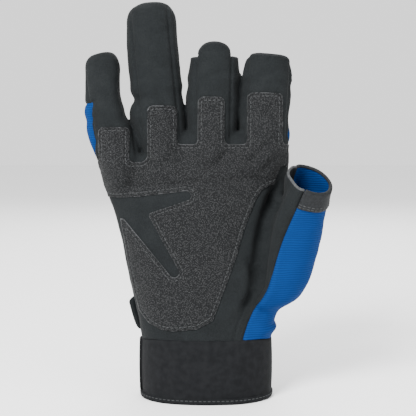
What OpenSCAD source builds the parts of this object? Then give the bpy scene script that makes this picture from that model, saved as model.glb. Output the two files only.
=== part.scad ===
// A right-hand sailing glove standing on its cuff, palm towards -Y, thumb towards +X.
// Every sewn panel is a solid of its own. Millimetres, origin under the middle of the cuff.

/* [Wrist] */
// Width of the hand shell where it meets the cuff
wrist_w = 72.8; // [71:0.1:74]
// Depth of the hand shell where it meets the cuff
wrist_d = 48; // [46:0.5:50]
// Height of the seam between cuff and hand
cuff_h = 33; // [31:0.5:34]
// Thickness of the padded cuff band
cuff_wall = 2.6; // [2:0.1:3]
// Height of the folded binding round the cuff's lower edge
binding_h = 3.2; // [2.5:0.1:4]

/* [Hand] */
// Width of the hand at the knuckles
knuckle_w = 105.8; // [104:0.1:107]
// Depth of the hand between the finger roots
knuckle_d = 23; // [21:0.5:25]
// Thickness of the hand and finger panels
wall = 1.5; // [1.2:0.1:1.8]
// Thickness of the grip patch
patch_t = 0.9; // [0.6:0.1:1.1]

/* [Fingers] */
// Length of the closed little finger above its root
little_len = 55; // [52:0.5:58]
// Length of the closed ring finger above its root
ring_len = 72; // [68:0.5:76]
// Length of the open middle finger above its root, to the top of its front tab
middle_len = 50.5; // [48:0.5:54]
// Length of the open index finger above its root, to the top of its front tab
index_len = 43.5; // [41:0.5:46]
// Angle of a finger's front and back panels to either side of their middle
seam_angle = 49; // [44:1:52]

/* [Thumb] */
// Width of the thumb's opening
thumb_w = 25.8; // [24:0.1:28]
// Height of the hem round the back of the thumb's opening
thumb_hem_h = 10; // [8:0.5:12]

/* [Closure] */
// Height of the hook-and-loop closure tab
tab_h = 20.5; // [18:0.5:21]
// Thickness of the closure tab
tab_t = 2.4; // [2:0.1:2.8]
// Width of the slit in the back of the cuff
slit_w = 6; // [4:0.5:8]

/* [Hidden] */

BLACK = [0.2, 0.21, 0.22];
CUFF_BLACK = [0.16, 0.17, 0.18];
BLUE = [0, 0.34, 0.62];
GRIP = [0.36, 0.37, 0.37];

mid_y = 4;
seam_gap = 0.1;
hinge_gap = 0.3;
step = 0.1;
facets = 44;

// Fingers: root x, root z, sideways lean, half width at root and tip, half depth at root and tip,
// height of the middle joint above the root, whole length.
LITTLE = [-49.1, 138, -10, 11.2, 10, 12.6, 9.4, 24, little_len];
RING = [-24.6, 148, -5.7, 13, 13, 13.4, 11.6, 26, ring_len];
MIDDLE = [2.5, 148, 1, 13.7, 13.2, 13.8, 12.2, 26, middle_len];
INDEX = [30.7, 148, 3.4, 13.8, 13.4, 13.6, 12.2, 23.5, index_len];
FINGERS = [LITTLE, RING, MIDDLE, INDEX];
dome_share = 0.95;

// Sections: centre, half width, half depth, forward lean, sideways lean, roundness (2 is an ellipse).
trunk_top = 135.2;
trunk_steps = 6;
TRUNK = [for (i = [0:trunk_steps]) trunk_section(i / trunk_steps)];
KNUCKLES = [[[3.6, mid_y, 124], 40.6, 14, 0, 0, 2.6], [[3.6, mid_y, 146], 40.6, 9, 0, 0, 2.6]];
THUMB_ROOT = [
    [[20, mid_y, 36], 9, 16, 0, 35, 2],
    [[28, mid_y - 1, 52], 11.8, 19.5, 2, 34, 2],
    [[38, mid_y - 5, 66], 16.4, 19, 6, 30, 2],
    [[44.5, mid_y - 8, 82], 17, 17.2, 13, 22, 2],
    [[49, mid_y - 13, 95.5], 16.2, 15.8, 21, 19, 2],
    [[51.4, mid_y - 17.6, 104.8], 15.2, 14.9, 27, 18.7, 2]
];
thumb_hinge = THUMB_ROOT[5];
thumb_mouth = [[57.1, mid_y - 27, 122.6], thumb_w / 2, thumb_w / 2 - 0.4, 31, 26, 2];

function mix(a, b, t) = a + (b - a) * t;
function root_power(v, e) = sign(v) * pow(abs(v), 2 / e);
function lean(p, fore, side) =
    let (y = p.y * cos(fore) - p.z * sin(fore), z = p.y * sin(fore) + p.z * cos(fore))
    [p.x * cos(side) + z * sin(side), y, z * cos(side) - p.x * sin(side)];
function rim_point(s, angle, grow = 0) =
    s[0] + lean([(s[1] + grow) * root_power(cos(angle), s[5]),
                 (s[2] + grow) * root_power(sin(angle), s[5]), 0], s[3], s[4]);
function trunk_section(t) =
    let (spread = pow(t, 1.15))
    [[mix(-0.9, -7.8, spread), mid_y, mix(cuff_h + seam_gap, trunk_top, t)],
     mix(wrist_w, knuckle_w, spread) / 2, mix(wrist_d, knuckle_d, t) / 2, 0, 0, 2.3];
function between(a, b, t) = [for (k = [0:5]) mix(a[k], b[k], t)];
function finger_section(f, h, grow = 0) =
    let (t = h / f[8])
    [[f[0], mid_y, f[1]] + lean([0, 0, h], 0, f[2]),
     mix(f[3], f[4], t) + grow, mix(f[5], f[6], t) + grow, 0, f[2], 2.2];
// A ring of a closed fingertip, phi degrees up its dome.
function tip_section(f, phi, grow = 0) =
    let (dome = f[4] * dome_share, s = finger_section(f, f[8] - dome + (dome + grow) * sin(phi)),
         size = max(cos(phi), 0.03))
    [s[0], (f[4] + grow) * size, (f[6] + grow) * size, 0, f[2], 2.2];
function arc_row(s, arc, cols, grow = 0) =
    [for (j = [0:cols]) rim_point(s, mix(arc[0], arc[1], j / cols), grow)];

// A thin closed solid between two grids of points of the same size.
module slab(outer, inner) {
    rows = len(outer);
    cols = len(outer[0]);
    below = rows * cols;
    top = (rows - 1) * cols;
    skin = [
        for (i = [0:rows - 2], j = [0:cols - 2])
        let (a = i * cols + j, b = a + 1, c = b + cols, d = a + cols)
        each [[a, d, c], [a, c, b], [below + a, below + b, below + c], [below + a, below + c, below + d]]
    ];
    ends = [
        for (a = [0:cols - 2])
        let (b = a + 1, c = top + a + 1, d = top + a)
        each [[a, b, below + b], [a, below + b, below + a], [c, d, below + d], [c, below + d, below + c]]
    ];
    sides = [
        for (i = [0:rows - 2])
        let (a = i * cols, d = a + cols, b = a + cols - 1, c = d + cols - 1)
        each [[d, a, below + a], [d, below + a, below + d], [b, c, below + c], [b, below + c, below + b]]
    ];
    polyhedron(
        points = concat([for (row = outer) each row], [for (row = inner) each row]),
        faces = concat(skin, ends, sides),
        convexity = 6
    );
}

// A panel of a tube: one arc per section, thick inwards.
module tube_panel(outer, inner, arcs, cols) {
    slab(
        [for (i = [0:len(outer) - 1]) arc_row(outer[i], arcs[i], cols)],
        [for (i = [0:len(outer) - 1]) arc_row(inner[i], arcs[i], cols)]
    );
}

module disk(s, grow) {
    translate(s[0])
        rotate([s[3], s[4], 0])
            linear_extrude(step)
                polygon([
                    for (k = [0:facets - 1])
                    let (angle = k * 360 / facets)
                    [(s[1] + grow) * root_power(cos(angle), s[5]), (s[2] + grow) * root_power(sin(angle), s[5])]
                ]);
}

module chain(sections, grow) {
    for (i = [0:len(sections) - 2])
        hull() {
            disk(sections[i], grow);
            disk(sections[i + 1], grow);
        }
}

// The same sections with the last one moved down.
function lowered(sections, drop) =
    [for (i = [0:len(sections) - 1])
        let (s = sections[i], down = i == len(sections) - 1 ? drop : 0)
        [s[0] - [0, 0, down], s[1], s[2], s[3], s[4], s[5]]];

// The hand without its thumb; a hollow's open ends run on by `past` and its closed ends stop short.
module hand_form(grow, past = 0) {
    drop = max(0, -grow);
    chain(lowered(TRUNK, drop), grow);
    chain(lowered(KNUCKLES, drop), grow);
    for (f = FINGERS)
        chain([finger_section(f, -34, -6), finger_section(f, -9, -0.5), finger_section(f, past - hinge_gap / 2 - step)], grow);
    if (past > 0)
        chain([[TRUNK[0][0] - [0, 0, past], TRUNK[0][1], TRUNK[0][2], 0, 0, TRUNK[0][5]], TRUNK[0]], grow);
}

module thumb_form(grow, past = 0) {
    up = lean([0, 0, past - hinge_gap / 2 - step], thumb_hinge[3], thumb_hinge[4]);
    end = [thumb_hinge[0] + up, thumb_hinge[1], thumb_hinge[2], thumb_hinge[3], thumb_hinge[4], 2];
    chain([for (i = [0:4]) THUMB_ROOT[i]], grow);
    chain([THUMB_ROOT[4], end], grow);
}

module shell() {
    difference() {
        union() {
            hand_form(0);
            thumb_form(0);
        }
        hand_form(-wall, 2);
        thumb_form(-wall, 2);
        translate([-100, -100, 0])
            cube([200, 200, cuff_h + seam_gap / 2]);
    }
}

// An outline in the X-Z plane, drawn through the glove from y0 to y1.
module through(points, y0, y1) {
    translate([0, y1, 0])
        rotate([90, 0, 0])
            linear_extrude(y1 - y0)
                offset(delta = -seam_gap / 2)
                    polygon(points);
}

side_seam_y = mid_y + 2;
far = 120;
// Seam lines in the X-Z plane, from the cuff upwards.
THUMB_FOLD = [[12, 20], [15, 40], [21, 55], [26, 70], [29.5, 92], [34.5, 109], [37, 115.6]];
THUMB_SEAM = [[19, 20], [22.5, 42], [26, 52], [36, 71], [43, 89], [47.5, 101], [51, 115.6]];
BACK_SEAM = [[24, 20], [27, 48], [33, 72], [37, 95], [39, 113]];
CROTCHES = [-37.75, -11.25, 16.55];
crotch_w = 6.4;
crotch_z = 133;

module crotch_blocks(grow) {
    for (x = CROTCHES)
        crotch_block(x, grow);
}

module crotch_block(x, grow) {
    translate([x - crotch_w / 2 - grow, mid_y - 8 - grow, crotch_z - grow])
        cube([crotch_w + 2 * grow, 16 + 2 * grow, 30]);
}

module cuff_band() {
    color(CUFF_BLACK)
        translate([0, 0, binding_h + seam_gap])
            linear_extrude(cuff_h - binding_h - 2 * seam_gap)
                difference() {
                    cuff_outline(1.4);
                    cuff_outline(1.4 - cuff_wall);
                    translate([-22, mid_y])
                        square([slit_w, 60]);
                }
}

module cuff_binding() {
    color(CUFF_BLACK)
        linear_extrude(binding_h)
            difference() {
                cuff_outline(1.9);
                cuff_outline(0.9 - cuff_wall);
                translate([-22, mid_y])
                    square([slit_w, 60]);
            }
}

module cuff_outline(grow) {
    s = TRUNK[0];
    polygon([
        for (k = [0:facets - 1])
        let (p = rim_point(s, k * 360 / facets, grow))
        [p.x, p.y]
    ]);
}

// The stitched-down edge that runs up the cuff's outer side.
module cuff_edge_strip() {
    rows = [for (i = [0:1]) [[TRUNK[0][0].x, mid_y, mix(binding_h + 0.3, cuff_h - 0.3, i)],
                             TRUNK[0][1] + 2.3, TRUNK[0][2] + 2.3, 0, 0, 2.3]];
    color(CUFF_BLACK)
        slab(
            [for (s = rows) arc_row(s, [178, 192], 6)],
            [for (s = rows) arc_row(s, [178, 192], 6, -0.8)]
        );
}

module palm_panel() {
    color(BLACK)
        difference() {
            intersection() {
                shell();
                through(
                    concat([[-far, 20]], THUMB_FOLD, [[far, 115.6], [far, 170], [-far, 170]]),
                    -far, side_seam_y - seam_gap / 2
                );
            }
            crotch_blocks(seam_gap);
        }
}

module thumb_palm_panel() {
    color(BLACK)
        intersection() {
            shell();
            through(concat(THUMB_FOLD, reverse(THUMB_SEAM)), -far, side_seam_y - seam_gap / 2);
        }
}

module back_panel() {
    color(BLUE)
        difference() {
            intersection() {
                shell();
                through(
                    concat([[-far, 20]], BACK_SEAM, [[far, 113], [far, 170], [-far, 170]]),
                    side_seam_y + seam_gap / 2, far
                );
            }
            crotch_blocks(seam_gap);
        }
}

module thumb_back_panel() {
    color(BLUE)
        intersection() {
            shell();
            union() {
                through(concat(THUMB_SEAM, [[far, 115.6], [far, 20]]), -far, side_seam_y + seam_gap);
                through(concat(BACK_SEAM, [[far, 113], [far, 20]]), side_seam_y + seam_gap / 2, far);
            }
        }
}

function reverse(list) = [for (i = [len(list) - 1:-1:0]) list[i]];

module crotch_web(x) {
    color(BLACK)
        intersection() {
            shell();
            crotch_block(x, 0);
        }
}

module web_little_ring() { crotch_web(CROTCHES[0]); }
module web_ring_middle() { crotch_web(CROTCHES[1]); }
module web_middle_index() { crotch_web(CROTCHES[2]); }

// Grip patch of the palm, with a bare channel from the outer edge to the heel of the hand.
PATCH = [[-18.3, 39.5], [2.6, 46.3], [10.3, 66.7], [15.8, 82], [19.7, 95.4], [25.7, 110.9],
         [30, 117.2], [36.8, 120.4], [43.9, 130.6], [43.9, 141.4], [-32.4, 141.4], [-32.4, 131.6],
         [-59.6, 131.6], [-56.6, 102.4], [-48.3, 102.4], [-44, 77], [-38.9, 53.4], [-33.8, 45.1]];
BARE = [[-70, 102.4], [-46.3, 102.4], [-20.3, 70.4], [-15.7, 73], [-31.7, 99.9], [-29.7, 105.1],
        [-8.9, 116.2], [-70, 113]];
// Patch tabs: x of the middle at the root, half width, height of the round top above the root.
TABS = [[-51.3, 8.3, 12.8], [-25.2, 7.8, 14.3], [1.9, 7.2, 19.2], [30.9, 9.3, 21.3]];
NOTCH_Z = [131.6, 141.4, 141.4, 141.4];

module palm_patch() {
    color(GRIP)
        intersection() {
            difference() {
                hand_form(patch_t + 0.05);
                hand_form(0.05, 1);
                thumb_form(0.2);
            }
            translate([0, mid_y - 3, 0])
                rotate([90, 0, 0])
                    linear_extrude(far)
                        patch_outline();
        }
}

module patch_outline() {
    difference() {
        union() {
            offset(r = 3) offset(delta = -3)
                polygon(PATCH);
            for (i = [0:3])
                translate([TABS[i][0] - TABS[i][1], NOTCH_Z[i] - 6])
                    square([2 * TABS[i][1], 40]);
        }
        offset(r = 2) offset(delta = -2)
            polygon(BARE);
    }
}

// Hook-and-loop closure across the back of the wrist.
tab_z = 44.5;
tab_end = 167;
tab_start = 50;
TAB_PATH = [[-1.6, mid_y, 0], 39.9, 26.9, 0, 0, 2.3];

module band(path, z0, z1, arc, inner, outer, round_r = 0) {
    cols = 24;
    rows = 6;
    middle = (z0 + z1) / 2;
    half = (z1 - z0) / 2;
    function narrow(j) =
        let (left = (cols - j) / cols * (arc[1] - arc[0]) * 0.62)
        left >= round_r ? 1 : 1 - (round_r / half) * (1 - sqrt(1 - pow(1 - left / round_r, 2)));
    function point(i, j, grow) =
        rim_point(path, mix(arc[0], arc[1], j / cols), grow)
        + [0, 0, middle + half * narrow(j) * (2 * i / rows - 1)];
    slab(
        [for (i = [0:rows]) [for (j = [0:cols]) point(i, j, outer)]],
        [for (i = [0:rows]) [for (j = [0:cols]) point(i, j, inner)]]
    );
}

module closure_tab() {
    color(BLACK)
        band(TAB_PATH, tab_z - tab_h / 2, tab_z + tab_h / 2, [tab_start + 0.6, tab_end], 0, tab_t, 6);
}

module hook_tape() {
    color(CUFF_BLACK)
        band(TAB_PATH, tab_z - 7.5, tab_z + 7.5, [112, 150], -1.1, -seam_gap / 2);
}

module tab_root() {
    color(BLACK)
        difference() {
            band(TAB_PATH, tab_z - tab_h / 2, tab_z + tab_h / 2, [30, tab_start], 0, tab_t);
            thumb_form(seam_gap);
        }
}

module loop_pad() {
    color(CUFF_BLACK)
        slab(
            [for (s = loop_sections()) arc_row(s, [66, 158], 24, 1.1)],
            [for (s = loop_sections()) arc_row(s, [66, 158], 24, 0.1)]
        );
}

function loop_sections() =
    [for (i = [0:4]) trunk_section((mix(35.5, 53.5, i / 4) - cuff_h) / (trunk_top - cuff_h))];

// Fingers: front is the palm side, outer the little-finger side, inner the thumb side.
FRONT = 270;
BACK = 90;
OUTER = 180;
INNER = 360;
edge = 0.22;
side_angle = 90 - seam_angle;
// The little and index fingers have no strip on their free side: the back panel runs round to the front.
wrapped_half = 90;
wrapped_shift = side_angle;

function heights(h0, h1, n) = [for (i = [0:n]) mix(h0, h1, i / n)];
function around(middle, half) = [middle - half + edge, middle + half - edge];

module finger_panel(f, h0, h1, middle, half, cols = 8, rows = 4) {
    sections = [for (h = heights(h0, h1, rows)) finger_section(f, h)];
    tube_panel(
        sections,
        [for (h = heights(h0, h1, rows)) finger_section(f, h, -wall)],
        [for (s = sections) around(middle, half)],
        cols
    );
}

module prox_panel(f, middle, half) {
    finger_panel(f, hinge_gap / 2, f[7] - hinge_gap / 2, middle, half);
}

// Round-topped strip of grip patch on the front of a finger.
module finger_patch(f, tab) {
    offset_angle = asin((tab[0] - f[0]) / f[3]);
    half = asin(tab[1] / (f[3] + 1.2));
    round_h = 6;
    shoulder = tab[2] - round_h;
    middle = FRONT + offset_angle;
    levels = concat(heights(hinge_gap / 2, shoulder, 3), [for (a = [15:15:75]) shoulder + round_h * sin(a)]);
    function narrow(h) = h <= shoulder ? 1 : 0.25 + 0.75 * sqrt(1 - pow((h - shoulder) / round_h, 2));
    arcs = [for (h = levels) [middle - half * narrow(h), middle + half * narrow(h)]];
    color(GRIP)
        slab(
            [for (i = [0:len(levels) - 1]) arc_row(finger_section(f, levels[i]), arcs[i], 10, patch_t + 0.05)],
            [for (i = [0:len(levels) - 1]) arc_row(finger_section(f, levels[i]), arcs[i], 10, 0.05)]
        );
}

// One panel of a closed fingertip. Front and back widen to meet over the tip; the sides run out.
module tip_panel(f, middle, half, widen, last_phi, shift = 0) {
    start = f[7] + hinge_gap / 2;
    shoulder = f[8] - f[4] * dome_share;
    tube = heights(start, shoulder, 3);
    dome = [for (phi = [15:15:last_phi]) phi];
    outer = concat([for (h = tube) finger_section(f, h)], [for (phi = dome) tip_section(f, phi)]);
    inner = concat([for (h = tube) finger_section(f, h, -wall)], [for (phi = dome) tip_section(f, phi, -wall)]);
    arcs = concat(
        [for (h = tube) around(middle + shift, half)],
        [for (phi = dome)
            let (t = min(1, phi / 75))
            around(middle + shift * (1 - t), mix(half, widen, t))]
    );
    tube_panel(outer, inner, arcs, shift == 0 ? 10 : 16);
}

module tip_front(f) { color(BLACK) tip_panel(f, FRONT, seam_angle, 90, 90); }
module tip_cap(f) { color(BLACK) tip_panel(f, BACK, seam_angle, 90, 90); }
module tip_wrapped_cap(f) { color(BLACK) tip_panel(f, BACK, wrapped_half, 90, 90, wrapped_shift); }
module tip_side(f, middle) { color(BLACK) tip_panel(f, middle, side_angle, 0, 60); }
module prox_front(f) { color(BLACK) prox_panel(f, FRONT, seam_angle); }
module prox_back(f) { color(BLUE) prox_panel(f, BACK, seam_angle); }
module prox_wrapped_back(f, middle) {
    color(BLUE)
        finger_panel(f, hinge_gap / 2, f[7] - hinge_gap / 2, middle, wrapped_half, 16);
}
module prox_side(f, middle) { color(BLACK) prox_panel(f, middle, side_angle); }

// Front tab of an open finger, with a round top. It keeps to the seams up to height low.
module open_front(f, half_top, round_h, low) {
    shoulder = f[8] - round_h;
    levels = concat(
        [f[7] + hinge_gap / 2],
        heights(low, shoulder, 3),
        [for (a = [15:15:75]) shoulder + round_h * sin(a)]
    );
    function half(h) =
        h <= shoulder ? mix(seam_angle, half_top, max(0, (h - low) / (shoulder - low)))
                      : half_top * (0.3 + 0.7 * sqrt(1 - pow((h - shoulder) / round_h, 2)));
    color(BLACK)
        tube_panel(
            [for (h = levels) finger_section(f, h)],
            [for (h = levels) finger_section(f, h, -wall)],
            [for (h = levels) around(FRONT, half(h))],
            10
        );
}

module open_side(f, middle, top) {
    color(BLACK)
        finger_panel(f, f[7] + hinge_gap / 2, top, middle, side_angle, 8, 2);
}

module open_back(f, top) {
    color(BLUE)
        finger_panel(f, f[7] + hinge_gap / 2, top, BACK, seam_angle, 8, 2);
}

module open_wrapped_back(f, top) {
    color(BLUE)
        finger_panel(f, f[7] + hinge_gap / 2, top, BACK - wrapped_shift, wrapped_half, 16, 2);
}

// Folded binding round the back and sides of an open finger.
rim_h = 2.2;

module open_rim(f, top) {
    levels = [top + seam_gap, top + seam_gap + rim_h];
    arc = [edge - side_angle, 180 + side_angle - edge];
    color(BLACK)
        slab(
            [for (h = levels) arc_row(finger_section(f, h), arc, 22, 0.3)],
            [for (h = levels) arc_row(finger_section(f, h), arc, 22, -wall - 0.3)]
        );
}

middle_open = 40.5;
index_open = 29;

module little_prox_front() { prox_front(LITTLE); }
module little_prox_back() { prox_wrapped_back(LITTLE, BACK + wrapped_shift); }
module little_prox_inner() { prox_side(LITTLE, INNER); }
module little_patch() { finger_patch(LITTLE, TABS[0]); }
module little_dist_front() { tip_front(LITTLE); }
module little_dist_cap() { tip_wrapped_cap(LITTLE); }
module little_dist_inner() { tip_side(LITTLE, INNER); }
module ring_prox_front() { prox_front(RING); }
module ring_prox_back() { prox_back(RING); }
module ring_prox_outer() { prox_side(RING, OUTER); }
module ring_prox_inner() { prox_side(RING, INNER); }
module ring_patch() { finger_patch(RING, TABS[1]); }
module ring_dist_front() { tip_front(RING); }
module ring_dist_cap() { tip_cap(RING); }
module ring_dist_outer() { tip_side(RING, OUTER); }
module ring_dist_inner() { tip_side(RING, INNER); }
module middle_prox_front() { prox_front(MIDDLE); }
module middle_prox_back() { prox_back(MIDDLE); }
module middle_prox_outer() { prox_side(MIDDLE, OUTER); }
module middle_prox_inner() { prox_side(MIDDLE, INNER); }
module middle_patch() { finger_patch(MIDDLE, TABS[2]); }
module middle_dist_front() { open_front(MIDDLE, 42, 8, 30); }
module middle_dist_back() { open_back(MIDDLE, middle_open); }
module middle_dist_outer() { open_side(MIDDLE, OUTER, middle_open); }
module middle_dist_inner() { open_side(MIDDLE, INNER, middle_open); }
module middle_rim() { open_rim(MIDDLE, middle_open); }
module index_prox_front() { prox_front(INDEX); }
module index_prox_back() { prox_wrapped_back(INDEX, BACK - wrapped_shift); }
module index_prox_outer() { prox_side(INDEX, OUTER); }
module index_patch() { finger_patch(INDEX, TABS[3]); }
module index_dist_front() { open_front(INDEX, 62, 6, index_open + rim_h + 3 * seam_gap); }
module index_dist_back() { open_wrapped_back(INDEX, index_open); }
module index_dist_outer() { open_side(INDEX, OUTER, index_open); }
module index_rim() { open_rim(INDEX, index_open); }

// Moving end of the thumb, from its bend line to its mouth.
THUMB_FRONT = [126, 274];
THUMB_BACK = [-86, 126];
hem_start = 1 - thumb_hem_h / norm(thumb_mouth[0] - thumb_hinge[0]);

function thumb_section(t) =
    let (s = between(thumb_hinge, thumb_mouth, t))
    [s[0] + lean([0, 0, hinge_gap / 2 * (1 - t)], s[3], s[4]), s[1], s[2], s[3], s[4], 2];

module thumb_panel(t0, t1, arc, cols, grow, thick) {
    levels = heights(t0, t1, 4);
    slab(
        [for (t = levels) arc_row(thumb_section(t), [arc[0] + edge, arc[1] - edge], cols, grow)],
        [for (t = levels) arc_row(thumb_section(t), [arc[0] + edge, arc[1] - edge], cols, grow - thick)]
    );
}

module thumb_tip_front() { color(BLACK) thumb_panel(0, 1, THUMB_FRONT, 16, 0, wall); }
module thumb_tip_back() { color(BLUE) thumb_panel(0, hem_start - 0.004, THUMB_BACK, 24, 0, wall); }
module thumb_hem() { color(BLACK) thumb_panel(hem_start + 0.004, 1, THUMB_BACK, 24, 0.4, wall + 0.6); }

cuff_band();
cuff_binding();
cuff_edge_strip();
palm_panel();
back_panel();
thumb_palm_panel();
thumb_back_panel();
palm_patch();
web_little_ring();
web_ring_middle();
web_middle_index();
loop_pad();
tab_root();
closure_tab();
hook_tape();
little_prox_front();
little_prox_back();
little_prox_inner();
little_patch();
little_dist_front();
little_dist_cap();
little_dist_inner();
ring_prox_front();
ring_prox_back();
ring_prox_outer();
ring_prox_inner();
ring_patch();
ring_dist_front();
ring_dist_cap();
ring_dist_outer();
ring_dist_inner();
middle_prox_front();
middle_prox_back();
middle_prox_outer();
middle_prox_inner();
middle_patch();
middle_dist_front();
middle_dist_back();
middle_dist_outer();
middle_dist_inner();
middle_rim();
index_prox_front();
index_prox_back();
index_prox_outer();
index_patch();
index_dist_front();
index_dist_back();
index_dist_outer();
index_rim();
thumb_tip_front();
thumb_tip_back();
thumb_hem();
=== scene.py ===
"""A right-hand sailing glove, filled out as if worn, standing on its cuff with the palm to the front.

The glove is one skin, made from the forms of the hand, fingers and thumb. It is cut into panels along
its seams, lined at its open tips, and split into pieces at the bends between the CAD bodies. Where
neighbouring fingers touch near their roots, their forms run together and the skin has no wall between
them. Lengths are millimetres until a piece is made, which turns them into metres.
"""

import math

import bpy
import numpy as np
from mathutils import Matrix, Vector, noise


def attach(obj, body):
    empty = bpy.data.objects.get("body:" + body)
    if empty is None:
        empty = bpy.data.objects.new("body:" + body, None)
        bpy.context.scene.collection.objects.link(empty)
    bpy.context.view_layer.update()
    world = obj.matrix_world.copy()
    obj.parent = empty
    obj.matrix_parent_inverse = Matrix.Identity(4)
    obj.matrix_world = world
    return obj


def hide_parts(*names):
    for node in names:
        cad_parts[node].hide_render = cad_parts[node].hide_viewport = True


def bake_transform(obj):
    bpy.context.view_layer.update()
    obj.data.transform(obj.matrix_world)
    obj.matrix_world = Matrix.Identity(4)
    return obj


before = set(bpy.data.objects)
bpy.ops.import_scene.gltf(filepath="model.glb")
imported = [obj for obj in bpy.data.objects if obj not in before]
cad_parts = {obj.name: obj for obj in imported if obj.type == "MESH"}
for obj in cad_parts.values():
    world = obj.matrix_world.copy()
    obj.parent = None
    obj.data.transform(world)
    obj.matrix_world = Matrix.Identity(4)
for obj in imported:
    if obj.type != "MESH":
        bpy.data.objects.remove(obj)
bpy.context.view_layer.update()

MM = 0.001
MID_Y = 4.0
CLOTH = 1.2
VOXEL = 0.8


# ---------------------------------------------------------------- numbers and frames


def smooth(rows, x):
    """A cubic through rows of (position, values...), held flat past both ends."""
    rows = np.asarray(rows, float)
    xs, ys = rows[:, 0], rows[:, 1:]
    slope = np.gradient(ys, xs, axis=0)
    x = np.clip(np.atleast_1d(x), xs[0], xs[-1])
    i = np.clip(np.searchsorted(xs, x) - 1, 0, len(xs) - 2)
    h = (xs[i + 1] - xs[i])[:, None]
    t = (x[:, None] - xs[i][:, None]) / h
    a, b = ys[i], ys[i + 1]
    return (
        (2 * t**3 - 3 * t**2 + 1) * a
        + (t**3 - 2 * t**2 + t) * h * slope[i]
        + (3 * t**2 - 2 * t**3) * b
        + (t**3 - t**2) * h * slope[i + 1]
    )


def ease(x, low, high):
    t = np.clip((x - low) / (high - low), 0, 1)
    return t * t * (3 - 2 * t)


class Axis:
    """A frame on a finger or thumb: local x across, y to the back of the hand, z along it."""

    def __init__(self, origin, fore, side):
        f, s = math.radians(fore), math.radians(side)
        fore_turn = np.array([[1, 0, 0], [0, math.cos(f), -math.sin(f)], [0, math.sin(f), math.cos(f)]])
        side_turn = np.array([[math.cos(s), 0, math.sin(s)], [0, 1, 0], [-math.sin(s), 0, math.cos(s)]])
        self.origin = np.array(origin, float)
        self.turn = side_turn @ fore_turn

    def local(self, points):
        return (points - self.origin) @ self.turn

    def world(self, points):
        return np.asarray(points, float) @ self.turn.T + self.origin

    def along(self, height):
        return self.world([0, 0, height])


def ring(left, right, front, back, power, count=72):
    a = np.arange(count) * 2 * math.pi / count
    c, s = np.cos(a), np.sin(a)
    x = np.where(c < 0, left, right) * np.sign(c) * np.abs(c) ** (2 / power)
    y = np.where(s < 0, front, back) * np.sign(s) * np.abs(s) ** (2 / power)
    return np.stack([x, y, np.zeros(count)], 1)


def tube_mesh(rings):
    """A closed tube through rings with the same number of points, its ends capped by fans."""
    rings = [np.asarray(r) for r in rings]
    n = len(rings[0])
    points = np.concatenate(rings + [rings[0].mean(0)[None], rings[-1].mean(0)[None]])
    j = np.arange(n)
    k = (j + 1) % n
    faces = []
    for i in range(len(rings) - 1):
        a, b = i * n, (i + 1) * n
        faces += [np.stack([a + j, a + k, b + k], 1), np.stack([a + j, b + k, b + j], 1)]
    low, high = len(points) - 2, len(points) - 1
    top = (len(rings) - 1) * n
    faces += [np.stack([np.full(n, low), k, j], 1), np.stack([np.full(n, high), top + j, top + k], 1)]
    return points, np.concatenate(faces)


# ---------------------------------------------------------------- the hand's forms


class Finger:
    """name, root x, root height, sideways lean; rows of (height, reach out, reach in, front, back)."""

    def __init__(self, name, x, z, side, rows, length, closed, bend, seams, backs, cap):
        self.name = name
        self.axis = Axis((x, MID_Y, z), 0, side)
        self.rows = rows
        self.length = length
        self.closed = closed
        self.bend = bend
        self.seams = seams
        self.backs = backs
        self.cap = cap

    def rings(self):
        low = self.rows[0][0]
        high = self.rows[-1][0]
        heights = np.linspace(low, high, 40)
        out = []
        for h, (left, right, front, back) in zip(heights, smooth(self.rows, heights)):
            out.append(self.axis.world(ring(left, right, front, back, 2.25) + [0, 0, h]))
        if self.closed:
            left, right, front, back = self.rows[-1][1:]
            dome = self.length - high
            for phi in np.radians(np.arange(7.5, 88, 7.5)):
                size = math.cos(phi) ** 0.58
                shape = ring(left * size, right * size, front * size, back * size, 2.25)
                out.append(self.axis.world(shape + [0, 0, high + dome * math.sin(phi)]))
        return out


# bend: where the root bend starts and ends, and where the middle bend starts and ends.
# seams: x of the two front seams. backs: y where the back panel starts, on the outer and thumb sides.
LITTLE = Finger(
    "little", -49.1, 138, -10,
    [(-26, 8, 7, 9.5, 9.5), (-14, 11, 10.4, 12.4, 12), (-7, 12.3, 11.3, 13, 12.6),
     (1.6, 14.4, 11.6, 13.2, 12.8),
     (8.4, 15.8, 9.9, 13, 12.6), (13.4, 16.3, 8.5, 12.7, 12.2), (18.3, 15.9, 7, 12.2, 11.6),
     (24.4, 15, 6.1, 11.6, 11), (31.8, 13.7, 5.9, 10.8, 10.4), (38, 12.5, 7, 10.2, 9.9),
     (46, 10.9, 8.6, 9.6, 9.2)],
    55.2, True, (0.5, 13, 15, 33), (-11.4, 9.5), ("wrap", 8.2), 28.5,
)
RING = Finger(
    "ring", -24.6, 148, -5.7,
    [(-30, 8, 8, 9.5, 9.5), (-18, 10.8, 11.5, 12.6, 12.2), (-8, 12.7, 12.5, 13.4, 13),
     (0, 15, 12.3, 13.6, 13.2),
     (6, 16.8, 12.4, 13.6, 13.2), (12.7, 17.3, 12.6, 13.4, 13), (20.6, 15.8, 12.7, 13.2, 12.8),
     (27, 15.8, 12.7, 13, 12.5), (39, 15.9, 12.7, 12.6, 12), (50, 15.4, 12.8, 12.2, 11.6),
     (59.5, 14.4, 13.3, 11.8, 11.2)],
    71.4, True, (2.5, 13, 16, 36), (-11.4, 9.2), (8.6, 8.6), 44,
)
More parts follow.
